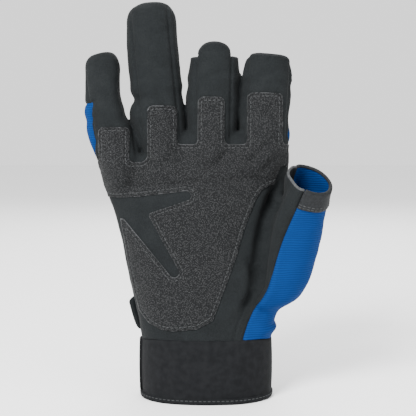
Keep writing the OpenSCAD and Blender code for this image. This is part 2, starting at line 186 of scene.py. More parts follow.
MIDDLE = Finger(
    "middle", 2.5, 148, 1,
    [(-30, 8, 8, 9.5, 9.5), (-18, 11.5, 11.5, 12.8, 12.4), (-8, 13.4, 13.2, 13.8, 13.4),
     (1.5, 13.8, 13.4, 14, 13.6),
     (14, 14.4, 14.2, 13.7, 13.3), (26, 14.7, 14.3, 13.4, 13), (34, 13.7, 14.3, 13, 12.6),
     (40, 12.9, 13.7, 12.7, 12.2), (45, 12, 12.9, 12.4, 12), (60, 11.4, 12, 12.2, 12)],
    50.9, False, (2.5, 13, 21.5, 35), (-9.6, 9.8), (8.8, 8.8), 99,
)
INDEX = Finger(
    "index", 30.7, 148, 3.4,
    [(-32, 8, 7, 9.5, 9.5), (-18, 11, 11.5, 12.6, 12.2), (-8, 13.2, 13.6, 13.4, 13),
     (0, 13.4, 14, 13.8, 13.4),
     (7, 13.7, 13.4, 13.8, 13.4), (19, 13.9, 14.1, 13.4, 13), (31, 13.6, 13.9, 13, 12.6),
     (44, 12.8, 13.5, 12.6, 12.2), (58, 12.4, 13, 12.4, 12)],
    43.8, False, (0.8, 13, 21.8, 30.5), (-11.2, 12.6), (8.8, "edge"), 99,
)
FINGERS = [LITTLE, RING, MIDDLE, INDEX]

# Rows of (height, left edge, right edge, half depth).
TRUNK = [(22, -37, 35.6, 24.6), (33, -37.3, 35.5, 23.8), (48, -40, 37, 22.2), (61, -43, 38, 20.9),
         (75, -45.6, 39, 19.3), (98.6, -51, 41.5, 16.9), (111, -55.1, 43, 15.7), (121.5, -57.9, 44.2, 14.4),
         (130.5, -60, 44.8, 12.6), (136, -60.2, 44.8, 9.5)]
KNUCKLES = [(112, -34, 40, 12), (124, -37, 43.8, 13), (136, -37.4, 44.4, 12), (144, -37.2, 44.2, 10),
            (148.4, -36, 43.4, 7)]

# Thumb: height along it, then centre, half width, half depth, forward lean, sideways lean.
THUMB = [(0, 20, 4, 36, 9, 16, 0, 35), (1, 28.5, 3, 52, 12.2, 19.5, 2, 34),
         (2, 38.2, -1, 66, 16.2, 19, 6, 30),
         (3, 43.2, -4, 82, 16.8, 17.2, 13, 22), (4, 46.7, -9, 95.5, 16, 15.8, 21, 19),
         (5, 48.9, -13.6, 104.8, 15, 14.9, 27, 18.7), (6, 54.0, -23, 122.8, 12.8, 12.6, 31, 25),
         (7, 59.4, -31, 138, 12.4, 12.3, 31, 25)]
THUMB_BEND = Axis((51.4, -13.6, 104.8), 27, 18.7)
THUMB_MOUTH = Axis((54.0, -23, 122.8), 31, 25)
THUMB_START, THUMB_END = -2.5, 9.0


def slab_rings(rows, power, count):
    heights = np.linspace(rows[0][0], rows[-1][0], count)
    out = []
    for z, (left, right, depth) in zip(heights, smooth(rows, heights)):
        middle, half = (left + right) / 2, (right - left) / 2
        out.append(ring(half, half, depth, depth, power, 160) + [middle, MID_Y, z])
    return out


def thumb_rings():
    steps = np.linspace(0, 7, 60)
    out = []
    for x, y, z, width, depth, fore, side in smooth(THUMB, steps):
        out.append(Axis((x, y, z), fore, side).world(ring(width, width, depth, depth, 2.05)))
    return out


def remeshed(parts):
    """One skin round several overlapping closed meshes."""
    points, faces, n = [], [], 0
    for p, f in parts:
        points.append(p)
        faces.append(f + n)
        n += len(p)
    mesh = bpy.data.meshes.new("forms")
    mesh.from_pydata((np.concatenate(points) * MM).tolist(), [], np.concatenate(faces).tolist())
    obj = bpy.data.objects.new("forms", mesh)
    bpy.context.scene.collection.objects.link(obj)
    mod = obj.modifiers.new("skin", "REMESH")
    mod.mode = "VOXEL"
    mod.voxel_size = VOXEL * MM
    skin = bpy.data.meshes.new_from_object(obj.evaluated_get(bpy.context.evaluated_depsgraph_get()))
    bpy.data.objects.remove(obj)
    skin.calc_loop_triangles()
    v = np.zeros(len(skin.vertices) * 3, np.float32)
    f = np.zeros(len(skin.loop_triangles) * 3, np.int32)
    skin.vertices.foreach_get("co", v)
    skin.loop_triangles.foreach_get("vertices", f)
    bpy.data.meshes.remove(skin)
    return v.reshape(-1, 3).astype(float) / MM, f.reshape(-1, 3)


# ---------------------------------------------------------------- mesh tools


def edges_of(faces):
    e = np.concatenate([faces[:, [0, 1]], faces[:, [1, 2]], faces[:, [2, 0]]])
    return e


def relaxed(points, faces, rounds, share=0.5):
    """Laplacian smoothing."""
    e = edges_of(faces)
    n = len(points)
    count = np.bincount(e[:, 0], minlength=n) + np.bincount(e[:, 1], minlength=n)
    for _ in range(rounds):
        total = np.zeros_like(points)
        for k in range(3):
            total[:, k] = np.bincount(e[:, 0], points[e[:, 1], k], n) + np.bincount(
                e[:, 1], points[e[:, 0], k], n
            )
        points = points + share * (total / np.maximum(count, 1)[:, None] - points)
    return points


def normals_of(points, faces):
    a, b, c = (points[faces[:, i]] for i in range(3))
    fn = np.cross(b - a, c - a)
    out = np.zeros_like(points)
    for i in range(3):
        for k in range(3):
            out[:, k] += np.bincount(faces[:, i], fn[:, k], len(points))
    return out / np.maximum(np.linalg.norm(out, axis=1), 1e-12)[:, None]


class Skin:
    """The glove's outer surface, with labels on its triangles that last through further cuts."""

    def __init__(self, points, faces):
        self.points = points
        self.faces = faces
        self.labels = {}

    def keep(self, mask):
        used, f = np.unique(self.faces[mask], return_inverse=True)
        self.points = self.points[used]
        self.faces = f.reshape(-1, 3)
        self.labels = {k: v[mask] for k, v in self.labels.items()}

    def cut(self, values, snap=0.1):
        """Cuts the triangles where a value per point is zero, and returns which lie on the positive side."""
        values = np.where(np.abs(values) < snap, 0.0, values)
        s = np.sign(values).astype(int)
        e = np.sort(edges_of(self.faces), axis=1)
        e = np.unique(e[s[e[:, 0]] * s[e[:, 1]] < 0], axis=0)
        t = values[e[:, 0]] / (values[e[:, 0]] - values[e[:, 1]])
        made = self.points[e[:, 0]] + t[:, None] * (self.points[e[:, 1]] - self.points[e[:, 0]])
        lookup = {(int(a), int(b)): len(self.points) + i for i, (a, b) in enumerate(e)}
        fs = s[self.faces]
        crossed = (fs.min(1) < 0) & (fs.max(1) > 0)
        new, parent = [], []
        for index in np.nonzero(crossed)[0].tolist():
            tri = self.faces[index].tolist()
            signs = [s[i] for i in tri]
            if 0 in signs:
                k = signs.index(0)
                a, b, c = tri[k], tri[(k + 1) % 3], tri[(k + 2) % 3]
                m = lookup[(min(b, c), max(b, c))]
                new += [(a, b, m), (a, m, c)]
                parent += [index] * 2
            else:
                k = next(
                    i for i in range(3)
                    if signs[i] != signs[(i + 1) % 3] and signs[i] != signs[(i + 2) % 3]
                )
                a, b, c = tri[k], tri[(k + 1) % 3], tri[(k + 2) % 3]
                m, n = lookup[(min(a, b), max(a, b))], lookup[(min(a, c), max(a, c))]
                new += [(a, m, n), (m, b, c), (m, c, n)]
                parent += [index] * 3
        whole = np.nonzero(~crossed)[0]
        order = np.concatenate([whole, np.array(parent, int)])
        self.points = np.concatenate([self.points, made])
        self.faces = np.concatenate([self.faces[whole], np.array(new, int).reshape(-1, 3)])
        self.labels = {k: v[order] for k, v in self.labels.items()}
        return np.concatenate([values, np.zeros(len(made))])[self.faces].sum(1) > 0

    def label(self, name, values):
        self.labels[name] = self.cut(values)


def border_edges(faces):
    """Edges with one face, in that face's direction."""
    e = edges_of(faces)
    key = np.sort(e, axis=1)
    _, inverse, count = np.unique(key, axis=0, return_inverse=True, return_counts=True)
    return e[count[inverse.ravel()] == 1]


def chains(edges):
    """Directed edges as ordered lists of points; a closed one repeats its first point."""
    follow = {}
    for a, b in edges.tolist():
        follow.setdefault(a, []).append(b)
    starts = set(follow) - {b for _, b in edges.tolist()}
    out = []
    todo = list(starts) + list(follow)
    for start in todo:
        if not follow.get(start):
            continue
        line = [start]
        while follow.get(line[-1]):
            line.append(follow[line[-1]].pop())
            if line[-1] == start:
                break
        if len(line) > 3:
            out.append(line)
    return out


def isoline(points, faces, normals, values):
    """The lines on the skin where a value is zero, as lists of (place, normal)."""
    values = np.where(values == 0, 1e-9, values)
    s = values > 0
    cut = faces[(s[faces].sum(1) > 0) & (s[faces].sum(1) < 3)]
    places, index, edges = [], {}, []

    def crossing(a, b):
        key = (min(a, b), max(a, b))
        if key not in index:
            t = values[a] / (values[a] - values[b])
            index[key] = len(places)
            places.append((
                points[a] + t * (points[b] - points[a]),
                normals[a] + t * (normals[b] - normals[a]),
            ))
        return index[key]

    for tri in cut.tolist():
        k = next(i for i in range(3) if s[tri[i]] != s[tri[(i + 1) % 3]] and s[tri[i]] != s[tri[(i + 2) % 3]])
        a, b, c = tri[k], tri[(k + 1) % 3], tri[(k + 2) % 3]
        m, n = crossing(a, b), crossing(a, c)
        edges.append((m, n) if s[a] else (n, m))
    lines = chains(np.array(edges)) if edges else []
    return [[places[i] for i in line] for line in lines]


def resampled(line, pitch):
    """Evenly spaced (place, normal, direction) along a line, lightly smoothed."""
    p = np.array([x[0] for x in line])
    n = np.array([x[1] for x in line])
    if len(p) < 4:
        return []
    for _ in range(3):
        p[1:-1] = (p[:-2] + 2 * p[1:-1] + p[2:]) / 4
    d = np.concatenate([[0], np.cumsum(np.linalg.norm(np.diff(p, axis=0), axis=1))])
    if d[-1] < 2 * pitch:
        return []
    at = np.arange(pitch / 2, d[-1], pitch)
    place = np.stack([np.interp(at, d, p[:, k]) for k in range(3)], 1)
    normal = np.stack([np.interp(at, d, n[:, k]) for k in range(3)], 1)
    ahead = np.stack([np.interp(at + 0.4, d, p[:, k]) for k in range(3)], 1)
    behind = np.stack([np.interp(at - 0.4, d, p[:, k]) for k in range(3)], 1)
    way = ahead - behind
    way /= np.maximum(np.linalg.norm(way, axis=1), 1e-9)[:, None]
    normal /= np.maximum(np.linalg.norm(normal, axis=1), 1e-9)[:, None]
    return list(zip(place, normal, way))


def capsules(stitches, length, radius, lift):
    """One small raised thread per stitch, its ends dipping into the cloth."""
    sides = 6
    rows = [(-0.5, 0.45, -0.9), (-0.38, 0.9, -0.15), (0, 1.0, 0.1), (0.38, 0.9, -0.15), (0.5, 0.45, -0.9)]
    points, faces = [], []
    for place, normal, way in stitches:
        across = np.cross(normal, way)
        base = len(points)
        for t, size, rise in rows:
            middle = place + way * (t * length) + normal * (lift + rise * radius)
            for k in range(sides):
                a = 2 * math.pi * k / sides
                points.append(middle + radius * size * (math.cos(a) * across + math.sin(a) * normal))
        for r in range(len(rows) - 1):
            for k in range(sides):
                a, b = base + r * sides + k, base + r * sides + (k + 1) % sides
                faces += [(a, b, b + sides), (a, b + sides, a + sides)]
        first, last = base, base + (len(rows) - 1) * sides
        for k in range(1, sides - 1):
            faces += [(first, first + k + 1, first + k), (last, last + k, last + k + 1)]
    return np.array(points).reshape(-1, 3), np.array(faces, int).reshape(-1, 3)


def tube_along(line, radius, sides=8, closed=False):
    """A round tube along (place, normal) points."""
    p = np.array([x[0] for x in line], float)
    n = np.array([x[1] for x in line], float)
    way = np.roll(p, -1, 0) - np.roll(p, 1, 0)
    if not closed:
        way[0], way[-1] = p[1] - p[0], p[-1] - p[-2]
    way /= np.maximum(np.linalg.norm(way, axis=1), 1e-9)[:, None]
    n = n - (n * way).sum(1)[:, None] * way
    n /= np.maximum(np.linalg.norm(n, axis=1), 1e-9)[:, None]
    b = np.cross(way, n)
    rings = []
    for q, u, v in zip(p, n, b):
        a = np.arange(sides) * 2 * math.pi / sides
        rings.append(q + radius * (np.cos(a)[:, None] * u + np.sin(a)[:, None] * v))
    if not closed:
        return tube_mesh(rings)
    count, rings = len(rings), np.concatenate(rings)
    faces = []
    for i in range(count):
        for k in range(sides):
            a, b2 = i * sides + k, i * sides + (k + 1) % sides
            c, d = (i + 1) % count * sides + (k + 1) % sides, (i + 1) % count * sides + k
            faces += [(a, b2, c), (a, c, d)]
    return rings, np.array(faces)


def joined(parts):
    points, faces, n = [], [], 0
    for p, f in parts:
        if len(f):
            points.append(p)
            faces.append(f + n)
            n += len(p)
    return np.concatenate(points), np.concatenate(faces)


# ---------------------------------------------------------------- outlines on the palm


def polygon_distance(x, z, outline):
    """Signed distance to a polygon in the X-Z plane, negative inside."""
    outline = np.asarray(outline, float)
    best = np.full(len(x), np.inf)
    inside = np.zeros(len(x), bool)
    for (ax, az), (bx, bz) in zip(outline, np.roll(outline, -1, 0)):
        dx, dz = bx - ax, bz - az
        t = np.clip(((x - ax) * dx + (z - az) * dz) / (dx * dx + dz * dz), 0, 1)
        best = np.minimum(best, np.hypot(x - ax - t * dx, z - az - t * dz))
        crosses = (az > z) != (bz > z)
        inside ^= crosses & (x < (bx - ax) * (z - az) / (bz - az if bz != az else 1e-9) + ax)
    return np.where(inside, -best, best)


def box_distance(x, z, x0, x1, z0, z1, r):
    dx = np.abs(x - (x0 + x1) / 2) - (x1 - x0) / 2 + r
    dz = np.abs(z - (z0 + z1) / 2) - (z1 - z0) / 2 + r
    return np.hypot(np.maximum(dx, 0), np.maximum(dz, 0)) + np.minimum(np.maximum(dx, dz), 0) - r


def soft_union(a, b, k):
    h = np.clip(0.5 + 0.5 * (b - a) / k, 0, 1)
    return b + (a - b) * h - k * h * (1 - h)


PATCH = [(-19, 40.1), (-6, 41.7), (2.6, 46.3), (10.3, 66.7), (15.8, 82), (19.7, 95.4), (25.7, 110.9),
         (29.1, 116.2), (33.5, 119), (37.2, 120.2), (40.5, 124.5), (44.4, 131), (44.4, 141.4), (-17.2, 141.4),
         (-36, 131.6), (-59.8, 131.6), (-57.5, 113), (-56, 103), (-48.3, 102), (-44.2, 77), (-41, 61),
         (-37.8, 50), (-32.5, 44), (-26, 41)]
PATCH_TABS = [(-59.7, -43.2, 119, 150.8), (-32.8, -17.2, 125, 162.4), (-5.3, 8.9, 130, 167.3),
              (21.6, 40.4, 130, 169.5)]
# The bare channel as tapering rounded strokes: x, z and half width at both ends.
BARE = [(-75, 106.2, 6, -42, 106.8, 5.8), (-42, 106.8, 5.8, -11.8, 113.6, 2.6),
        (-39.5, 102.5, 6.4, -18.4, 72.2, 2.8)]


def stroke_distance(x, z, stroke):
    ax, az, ra, bx, bz, rb = stroke
    dx, dz = bx - ax, bz - az
    t = np.clip(((x - ax) * dx + (z - az) * dz) / (dx * dx + dz * dz), 0, 1)
    return np.hypot(x - ax - t * dx, z - az - t * dz) - (ra + (rb - ra) * t)


def patch_distance(p):
    """Distance to the edge of the grip patch as laid on the palm, negative inside."""
    x, z = p[:, 0], p[:, 2]
    d = polygon_distance(x, z, PATCH)
    for x0, x1, z0, z1 in PATCH_TABS:
        d = soft_union(d, box_distance(x, z, x0, x1, z0, z1, 3.2), 3.0)
    bare = soft_union(stroke_distance(x, z, BARE[0]), stroke_distance(x, z, BARE[1]), 1.0)
    bare = soft_union(bare, stroke_distance(x, z, BARE[2]), 2.5)
    d = np.maximum(d, -bare)
    return np.maximum(d, p[:, 1] - MID_Y + 2.5)


# ---------------------------------------------------------------- panels


THUMB_SEAM = [(30, 18.2), (35.5, 19.3), (44.7, 22.3), (53.5, 25.8), (59, 29.2), (73, 34.6), (90.5, 40),
              (101.6, 44.1), (107, 46.2), (115, 49.2), (125, 52.4), (140, 56)]
CUFF_SEAM_SIDE, CUFF_SEAM_FRONT = 33.2, 35.2


def cuff_seam_height(p):
    front = ease(-(p[:, 1] - MID_Y), 4, 20)
    return CUFF_SEAM_SIDE + (CUFF_SEAM_FRONT - CUFF_SEAM_SIDE) * front


def nearest_finger(p):
    """Which finger a point near the finger roots belongs to, or -1 on the hand and thumb."""
    best = np.full(len(p), -1)
    near = np.full(len(p), np.inf)
    for i, f in enumerate(FINGERS):
        q = f.axis.local(p)
        rows = smooth(f.rows, q[:, 2])
        far = np.abs(q[:, 0]) / np.where(q[:, 0] < 0, rows[:, 0], rows[:, 1])
        far = np.where((q[:, 2] > -14) & (p[:, 1] > MID_Y - 19) & (far < 1.6), far, np.inf)
        closer = far < near
        best[closer] = i
        near = np.minimum(near, far)
    return best


def black_side(p):
    """Positive on the black palm-side cloth, negative on the blue back."""
    x, y, z = p.T
    q = y - MID_Y
    back = np.where(x < -8, 2.0, 3.0)
    which = nearest_finger(p)
    for i, f in enumerate(FINGERS):
        m = which == i
        h = f.axis.local(p[m])
        rise = ease(h[:, 2], -12, -2)
        outer, inner = f.backs
        if outer == "wrap":
            left = 2.0 - 10.9 * ease(h[:, 2], -9, 9)
        else:
            left = 2.0 + (outer - 2.0) * rise
        if inner == "edge":
            right = 3.0 - 9.0 * np.exp(-(((h[:, 2] + 0.5) / 5.0) ** 2))
        else:
            right = 3.0 + (inner - 3.0) * rise
        back[m] = np.where(h[:, 0] < 0, left, right)
    hand = back - q
    m = THUMB_MOUTH.local(p)
    behind = ease(m[:, 1], -4, 5) * ease(m[:, 2], -20, -8) * (np.hypot(m[:, 0], m[:, 1]) < 16)
    thumb = smooth(THUMB_SEAM, z)[:, 0] - 6.8 * behind - x
    low = which < 0
    field = np.where(low, np.minimum(hand, thumb), hand)
    for f in (LITTLE, RING):
        h = f.axis.local(p)
        m = (which == FINGERS.index(f)) & (h[:, 2] > f.cap - 6)
        field[m] = np.maximum(field[m], h[m, 2] - f.cap)
    return field


def mouth_height(f, p, open_side, tab_half, tab_top):
    """How far a point of an open finger is below its mouth."""
    q = f.axis.local(p)
    rows = smooth(f.rows, q[:, 2])
    width = np.where(q[:, 0] < 0, rows[:, 0], rows[:, 1])
    turn = np.abs(np.arctan2(np.abs(q[:, 0]) / width, -q[:, 1] / rows[:, 2]))
    inside = np.clip(1 - (turn / tab_half) ** (2.3 if f is MIDDLE else 4), 0, None) ** 0.5
    tilt = 0.5 * q[:, 0] / 14 * (-1 if f is INDEX else 0.6)
    top = open_side + tilt + (tab_top - open_side) * inside
    return top - q[:, 2]


# ---------------------------------------------------------------- folds and creases


def line_offset(x, z, line):
    """Sideways distance in X from a line of (x, z) rows."""
    rows = np.array([(b, a) for a, b in line], float)
    return x - smooth(rows, z)[:, 0]


THUMB_FOLD = [(13, 22), (15, 40), (20, 52), (25.6, 62), (27.6, 71), (28.6, 82), (30.1, 93), (33.6, 106),
              (38.5, 118),
              (44, 128)]


def bumps(points, size, stretch, seed):
    scale = np.array(stretch, float) / size
    return np.array([noise.noise(Vector(p)) for p in points * scale + seed])


# Pull lines on the palm side: both ends as (x, z), half width and depth.
PULLS = [((36, 146), (20, 128), 2.2, 1.1), ((40, 138), (27, 124), 2.0, 0.9), ((12, 140), (-2, 124), 2.4, 0.8),
         ((-14, 141), (-30, 126), 2.4, 0.8), ((-37, 131), (-46, 112), 2.4, 0.8), ((30, 60),
         (20, 84), 2.6, 1.1),
         ((34, 46), (18, 58), 2.4, 0.9), ((-36, 60), (-20, 52), 2.6, 0.7), ((-20, 160), (-32, 172), 2.2, 0.7),
         ((-17, 152), (-26, 166), 2.0, 0.6), ((8, 152), (-4, 166), 2.0, 0.6), ((-44, 142),
         (-56, 156), 2.0, 0.7),
         ((24, 150), (38, 166), 2.0, 0.6), ((24, 176), (38, 181), 2.2, 0.5), ((-6, 176), (10, 181), 2.0, 0.5)]


def folds(p):
    """How far the cloth stands out from the plain forms, in millimetres."""
    x, y, z = p.T
    front = ease(-(y - MID_Y), 3, 10)
    out = 0.7 * bumps(p, 15, (1, 1, 1.3), 3.1) + 0.26 * bumps(p, 7, (0.9, 0.9, 1.2), 11.7)
    d = line_offset(x, z, THUMB_FOLD)
    along = ease(z, 44, 62) * (1 - ease(z, 112, 126))
    out += front * along * (-5.0 * np.exp(-((d / 3.2) ** 2)) + 1.3 * np.exp(-(((d - 8) / 3.4) ** 2)))
    out += front * along * 0.5 * np.exp(-(((d + 6) / 4) ** 2))
    crease = z - 121 - 0.05 * x
    across = ease(x, -55, -40) * (1 - ease(x, 28, 40))
    out -= front * across * 1.5 * np.exp(-((crease / 2.6) ** 2))
    for fx, fz in ((-50, 130), (-25, 134), (2, 135), (29, 135)):
        out += front * 1.6 * np.exp(-(((x - fx) / 7.5) ** 2) - ((z - fz) / 5.5) ** 2)
    right = ease(x, 22, 32)
    out += right * (-2.0 * np.exp(-(((z - 48.5) / 4.2) ** 2)) + 2.3 * np.exp(-(((z - 39.5) / 3.6) ** 2)))
    for top, foot, reach, deep in PULLS:
        a, b = np.array(top, float), np.array(foot, float)
        way = b - a
        t = np.clip(((x - a[0]) * way[0] + (z - a[1]) * way[1]) / (way @ way), 0, 1)
        off = np.hypot(x - a[0] - t * way[0], z - a[1] - t * way[1])
        out -= front * 1.5 * deep * np.sin(np.pi * np.clip(t, 0.04, 0.96)) * np.exp(-((off / reach) ** 2))
    pull = line_offset(x, z, [(-28, 40), (-20, 60), (-10, 80), (0, 100), (6, 118)])
    out -= front * 0.5 * np.exp(-((pull / 3.5) ** 2)) * ease(z, 50, 70) * (1 - ease(z, 95, 110))
    which = nearest_finger(p)
    for i, f in enumerate(FINGERS):
        m = which == i
        h = f.axis.local(p[m])
        shade = ease(h[:, 2], -4, 6)
        rows = smooth(f.rows, h[:, 2])
        share = np.abs(h[:, 0]) / np.where(h[:, 0] < 0, rows[:, 0], rows[:, 1])
        out[m] = np.where(h[:, 2] > -10, out[m] * (1 - 0.8 * ease(share, 0.7, 0.95)), out[m])
        out[m] += shade * 0.4 * bumps(h, 5.5, (0.5, 0.5, 1.35), 20 + 5 * i) * (1 - 0.7 * ease(share, 0.7, 0.95))
        joint = f.bend[2] + 4
        side = np.abs(h[:, 0]) / 14
        out[m] -= 0.5 * side * np.exp(-(((h[:, 2] - joint) / 2.6) ** 2))
        out[m] += 0.35 * side * np.exp(-(((h[:, 2] - joint - 5) / 2.6) ** 2))
    ring_side = RING.axis.local(p)
    middle_side = MIDDLE.axis.local(p)
    m = (which == 2) & (middle_side[:, 0] < -9)
    rise = middle_side[m, 2]
    out[m] += 1.05 * ease(middle_side[m, 1], -1, 4) * ease(rise, 0, 4) * (1 - ease(rise, 19, 25))
    index_side = INDEX.axis.local(p)
    m = (which == 3) & (index_side[:, 0] > 8)
    out[m] += 1.0 * np.exp(-(((index_side[m, 2] + 1) / 6) ** 2))
    m = (which == 1) & (ring_side[:, 0] < -6)
    h = ring_side[m, 2]
    out[m] += 0.8 * np.exp(-(((h - 11) / 4) ** 2)) - 0.9 * np.exp(-(((h - 19.5) / 2.4) ** 2))
    return out


def seam_depth(p):
    """The grooves along the seams."""
    near = np.exp(-((black_side(p) / 0.9) ** 2)) * 0.8
    which = nearest_finger(p)
    for i, f in enumerate(FINGERS):
        m = which == i
        q = f.axis.local(p[m])
        front = ease(-q[:, 1], 2, 5) * ease(q[:, 2], -5, -1)
        for x in f.seams:
            near[m] += front * 0.9 * np.exp(-(((q[:, 0] - x) / 0.8) ** 2))
        if f is INDEX:
            back = ease(q[:, 1], 2, 5) * ease(q[:, 2], -5, -1)
            near[m] += back * 0.3 * np.exp(-(((q[:, 0] - 12.4) / 0.8) ** 2))
    x, y, z = p.T
    d = line_offset(x, z, THUMB_FOLD)
    inner = ease(-(y - MID_Y), 8, 12) * (1 - ease(z, 118, 126)) * (which < 0)
    near += 0.5 * np.exp(-((d / 0.8) ** 2)) * inner
    return near


# ---------------------------------------------------------------- the skin, cut into its pieces


FAR = 50  # the value given where a field doesn't apply
BEND_MARGIN = 0.3  # how far below its bend a fingertip's piece starts
EDGE_REACH = 0.6  # points nearer to a mouth than this are on its edge


def at_edge(value):
    """A test for the points on the edge where the field is zero."""

    def test(p):
        return np.abs(value(p)) < EDGE_REACH

    return test


def thumb_mouth_value(p):
    q = THUMB_MOUTH.local(p)
    return np.where(np.hypot(q[:, 0], q[:, 1]) < 19, -q[:, 2] + 1.0 * q[:, 0] / 13, FAR)


def thumb_height(p):
    q = THUMB_BEND.local(p)
    near = (q[:, 0] > -19.5) & (np.hypot(q[:, 0], q[:, 1]) < 26) & (p[:, 1] < MID_Y + 2)
    return np.where(near, q[:, 2], -FAR)


def finger_value(i, height):
    def value(p):
        q = FINGERS[i].axis.local(p)
        return np.where(nearest_finger(p) == i, q[:, 2] - height, -FAR)

    return value


def opening_value(i, spec):
    def value(p):
        q = FINGERS[i].axis.local(p)
        m = (nearest_finger(p) == i) & (q[:, 2] > 15)
        return np.where(m, mouth_height(FINGERS[i], p, spec[0], spec[2], spec[1]), FAR)

    return value


MIDDLE_TAB = (40.5, 48.4, math.radians(45))
INDEX_TAB = (29.6, 41.9, math.radians(76))

forms = [tube_mesh(slab_rings(TRUNK, 2.3, 40)), tube_mesh(slab_rings(KNUCKLES, 2.5, 12))]
forms += [tube_mesh(thumb_rings())] + [tube_mesh(f.rings()) for f in FINGERS]
points, faces = remeshed(forms)
points = relaxed(points, faces, 5)
points = points + normals_of(points, faces) * folds(points)[:, None]
points = relaxed(points, faces, 1)
skin = Skin(points, faces)
for field in (
    lambda p: p[:, 2] - cuff_seam_height(p),
    thumb_mouth_value,
    opening_value(2, MIDDLE_TAB),
    opening_value(3, INDEX_TAB),
):
    skin.keep(skin.cut(field(skin.points)))
skin.label("black", black_side(skin.points))
skin.label("patch", -patch_distance(skin.points))
for i, f in enumerate(FINGERS):
    skin.label(f.name + "_base", finger_value(i, f.bend[0])(skin.points))
    skin.label(f.name + "_tip", finger_value(i, f.bend[2] - BEND_MARGIN)(skin.points))
skin.label("thumb", thumb_height(skin.points) - THUMB_START)
skin.label("hem", thumb_height(skin.points) - 9.2)
depth = seam_depth(skin.points)
normals = normals_of(skin.points, skin.faces)
skin.points = skin.points - normals * depth[:, None]
normals = normals_of(skin.points, skin.faces)
labels = skin.labels
black, blue = labels["black"], ~labels["black"]
thumb = labels["thumb"]
for f in FINGERS:
    labels[f.name + "_base"] &= ~labels[f.name + "_tip"]
    thumb &= ~labels[f.name + "_base"] & ~labels[f.name + "_tip"]
hand = ~thumb
for f in FINGERS:
    hand &= ~labels[f.name + "_base"] & ~labels[f.name + "_tip"]


def taken(mask):
    """Points, triangles and normals of the chosen part of the skin."""
    used, f = np.unique(skin.faces[mask], return_inverse=True)
    n = normals[used]
    return skin.points[used], f.reshape(-1, 3), n


def lined(p, f, n, thick, at_mouth):
    """The same cloth with an inner face, closed along the edges at a mouth."""
    edges = border_edges(f)
    edges = edges[at_mouth(p[edges].mean(1))]
    count = len(p)
    a, b = edges.T
    walls = np.concatenate([np.stack([b, a, a + count], 1), np.stack([b, a + count, b + count], 1)])
    return np.concatenate([p, p - n * thick]), np.concatenate([f, f[:, ::-1] + count, walls])


def layer(p, f, n, thick, inset):
    """A flat piece laid on the skin, its edge rounded over the inset; also its wall, apart."""
    edges = border_edges(f)
    rim = np.unique(edges)
    tree = np.full(len(p), np.inf)
    tree[rim] = 0
    e = edges_of(f)
    length = np.linalg.norm(p[e[:, 0]] - p[e[:, 1]], axis=1)
    for _ in range(4):
        np.minimum.at(tree, e[:, 0], tree[e[:, 1]] + length)
        np.minimum.at(tree, e[:, 1], tree[e[:, 0]] + length)
    rise = thick * (0.72 + 0.28 * ease(np.minimum(tree, 9), 0, inset))
    top = p + n * rise[:, None]
    a, b = edges.T
    count = len(p)
    foot = p - n * 0.3
    walls = np.concatenate([np.stack([b, a, a + count], 1), np.stack([b, a + count, b + count], 1)])
    return np.concatenate([top, foot]), f, walls


# ---------------------------------------------------------------- materials


class Tree:
    def __init__(self, name):
        self.material = bpy.data.materials.new(name)
        self.material.use_nodes = True
        self.tree = self.material.node_tree
        self.shader = self.tree.nodes["Principled BSDF"]
        self.rest = self.add("ShaderNodeAttribute")
        self.rest.attribute_name = "rest"

    def add(self, kind, inputs=(), **settings):
        node = self.tree.nodes.new(kind)
        for k, v in settings.items():
            setattr(node, k, v)
        for socket, value in dict(inputs).items():
            if isinstance(value, bpy.types.NodeSocket):
                self.tree.links.new(value, node.inputs[socket])
            else:
                node.inputs[socket].default_value = value
        return node

    def math(self, operation, a, b=0.0):
        return self.add("ShaderNodeMath", {0: a, 1: b}, operation=operation).outputs[0]

    def noise(self, per_mm, detail=2.0, rough=0.5):
        node = self.add("ShaderNodeTexNoise", {"Vector": self.rest.outputs["Vector"], "Scale": per_mm,
                                               "Detail": detail, "Roughness": rough})
        return node.outputs[0]

    def cells(self, per_mm, feature="F1"):
        node = self.add("ShaderNodeTexVoronoi", {"Vector": self.rest.outputs["Vector"], "Scale": per_mm},
                        feature=feature)
        return node.outputs["Distance"]

    def spread(self, value, low, high, to_low, to_high):
        return self.add("ShaderNodeMapRange", {0: value, 1: low, 2: high, 3: to_low, 4: to_high}).outputs[0]

    def colour(self, value, dark, light):
        ramp = self.add("ShaderNodeMix", {0: value}, data_type="RGBA")
        ramp.inputs[6].default_value = (*dark, 1)
        ramp.inputs[7].default_value = (*light, 1)
        self.tree.links.new(ramp.outputs[2], self.shader.inputs["Base Color"])

    def bump(self, height, distance, strength=1.0):
        node = self.add("ShaderNodeBump", {"Strength": strength, "Distance": distance * MM, "Height": height})
        self.tree.links.new(node.outputs[0], self.shader.inputs["Normal"])

    def finish(self, rough, sheen=0.0, specular=0.3):
        self.shader.inputs["Roughness"].default_value = rough
        self.shader.inputs["Sheen Weight"].default_value = sheen
        self.shader.inputs["Sheen Roughness"].default_value = 0.5
        self.shader.inputs["Specular IOR Level"].default_value = specular
        return self.material


def suede_material():
    t = Tree("black_suede")
    mixed = t.math("ADD", t.math("MULTIPLY", t.noise(0.12, 3), 0.3), t.math("MULTIPLY", t.noise(1.8, 3), 0.7))
    t.colour(t.spread(mixed, 0.3, 0.7, 0, 1), (0.0038, 0.0046, 0.0050), (0.0104, 0.0120, 0.0127))
    t.bump(t.math("ADD", t.noise(2.6, 4, 0.65), t.math("MULTIPLY", t.noise(0.45, 2), 0.8)), 0.45, 0.55)
    return t.finish(0.88, 0.012, 0.08)


